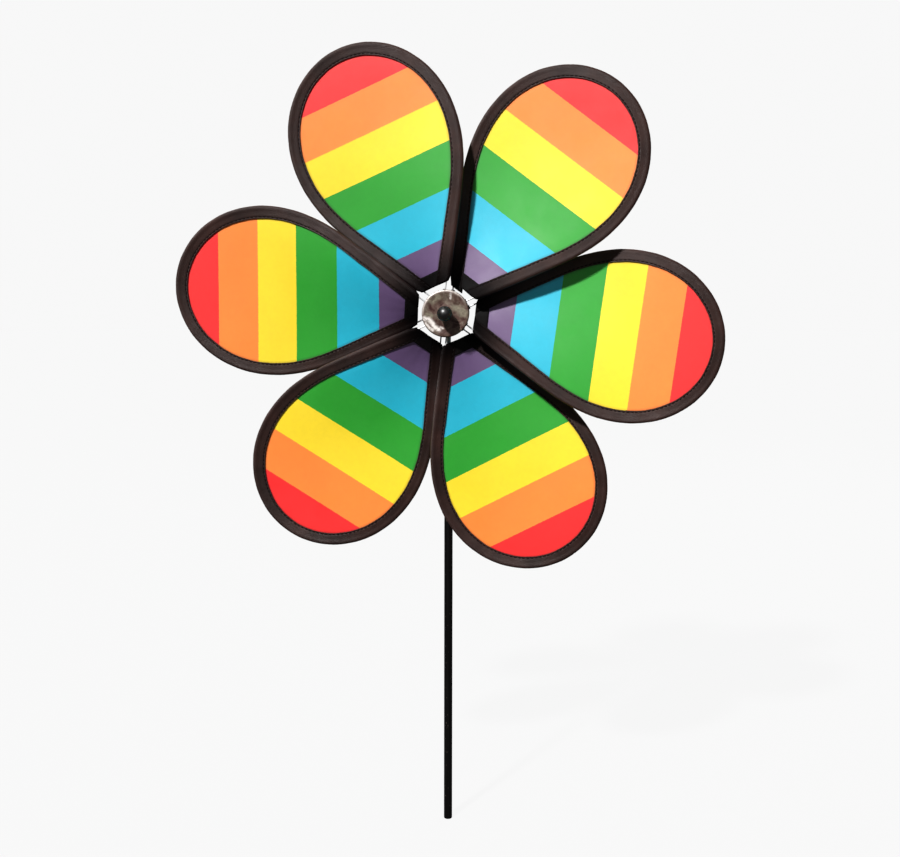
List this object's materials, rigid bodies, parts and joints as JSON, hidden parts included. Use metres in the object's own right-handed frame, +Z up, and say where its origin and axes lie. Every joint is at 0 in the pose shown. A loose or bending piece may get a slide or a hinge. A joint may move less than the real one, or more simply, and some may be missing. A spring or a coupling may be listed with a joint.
{
  "type": "pinwheel",
  "caption": "Flower-shaped wind spinner: striped fabric petals on springy wire rods round a hub that turns on a bent wire at the top of a thin stick.",
  "frame": {"origin": "centre of the stick's foot", "axes": "+Z up along the stick, the wheel faces -Y, +X to the right as seen from the front"},
  "size_m": [0.3715, 0.0542, 0.5502],
  "materials": {
    "stick": "satin black",
    "holder": "moulded matt black",
    "steel": "brushed",
    "hub": "moulded matt",
    "disc": "polished, grey-brown",
    "knob": "glossy black",
    "cloth": "printed woven polyester, six colour stripes",
    "tape": "woven dark brown tape",
    "rod": "drawn spring wire, satin grey"
  },
  "bodies": {
    "stick": {"stick": "stick", "stick_cap": "holder"},
    "head": {"axle": "steel", "swivel_collar": "holder", "axle_knob": "knob", "front_washer": "steel", "rear_washer": "steel", "rear_spacer": "holder"},
    "wheel": {"hub_body": "hub", "hub_front_disc": "disc", "hub_sleeve": "steel", "petal_rod_1": "rod", "petal_rod_2": "rod", "petal_rod_3": "rod", "petal_rod_4": "rod", "petal_rod_5": "rod", "petal_rod_6": "rod", "petal_sail_1": "cloth", "petal_sail_2": "cloth", "petal_sail_3": "cloth", "petal_sail_4": "cloth", "petal_sail_5": "cloth", "petal_sail_6": "cloth", "petal_binding_1": "tape", "petal_binding_2": "tape", "petal_binding_3": "tape", "petal_binding_4": "tape", "petal_binding_5": "tape", "petal_binding_6": "tape", "petal_hem_1": "tape", "petal_hem_2": "tape", "petal_hem_3": "tape", "petal_hem_4": "tape", "petal_hem_5": "tape", "petal_hem_6": "tape"}
  },
  "joints": [
    {"name": "head_swivel", "type": "hinge", "parent": "stick", "child": "head", "pos_m": [0, 0, 0.345], "axis": [0, 0, 1], "continuous": true},
    {"name": "wheel_spin", "type": "hinge", "parent": "head", "child": "wheel", "pos_m": [0, -0.026, 0.374], "axis": [0, -1, 0], "continuous": true}
  ]
}
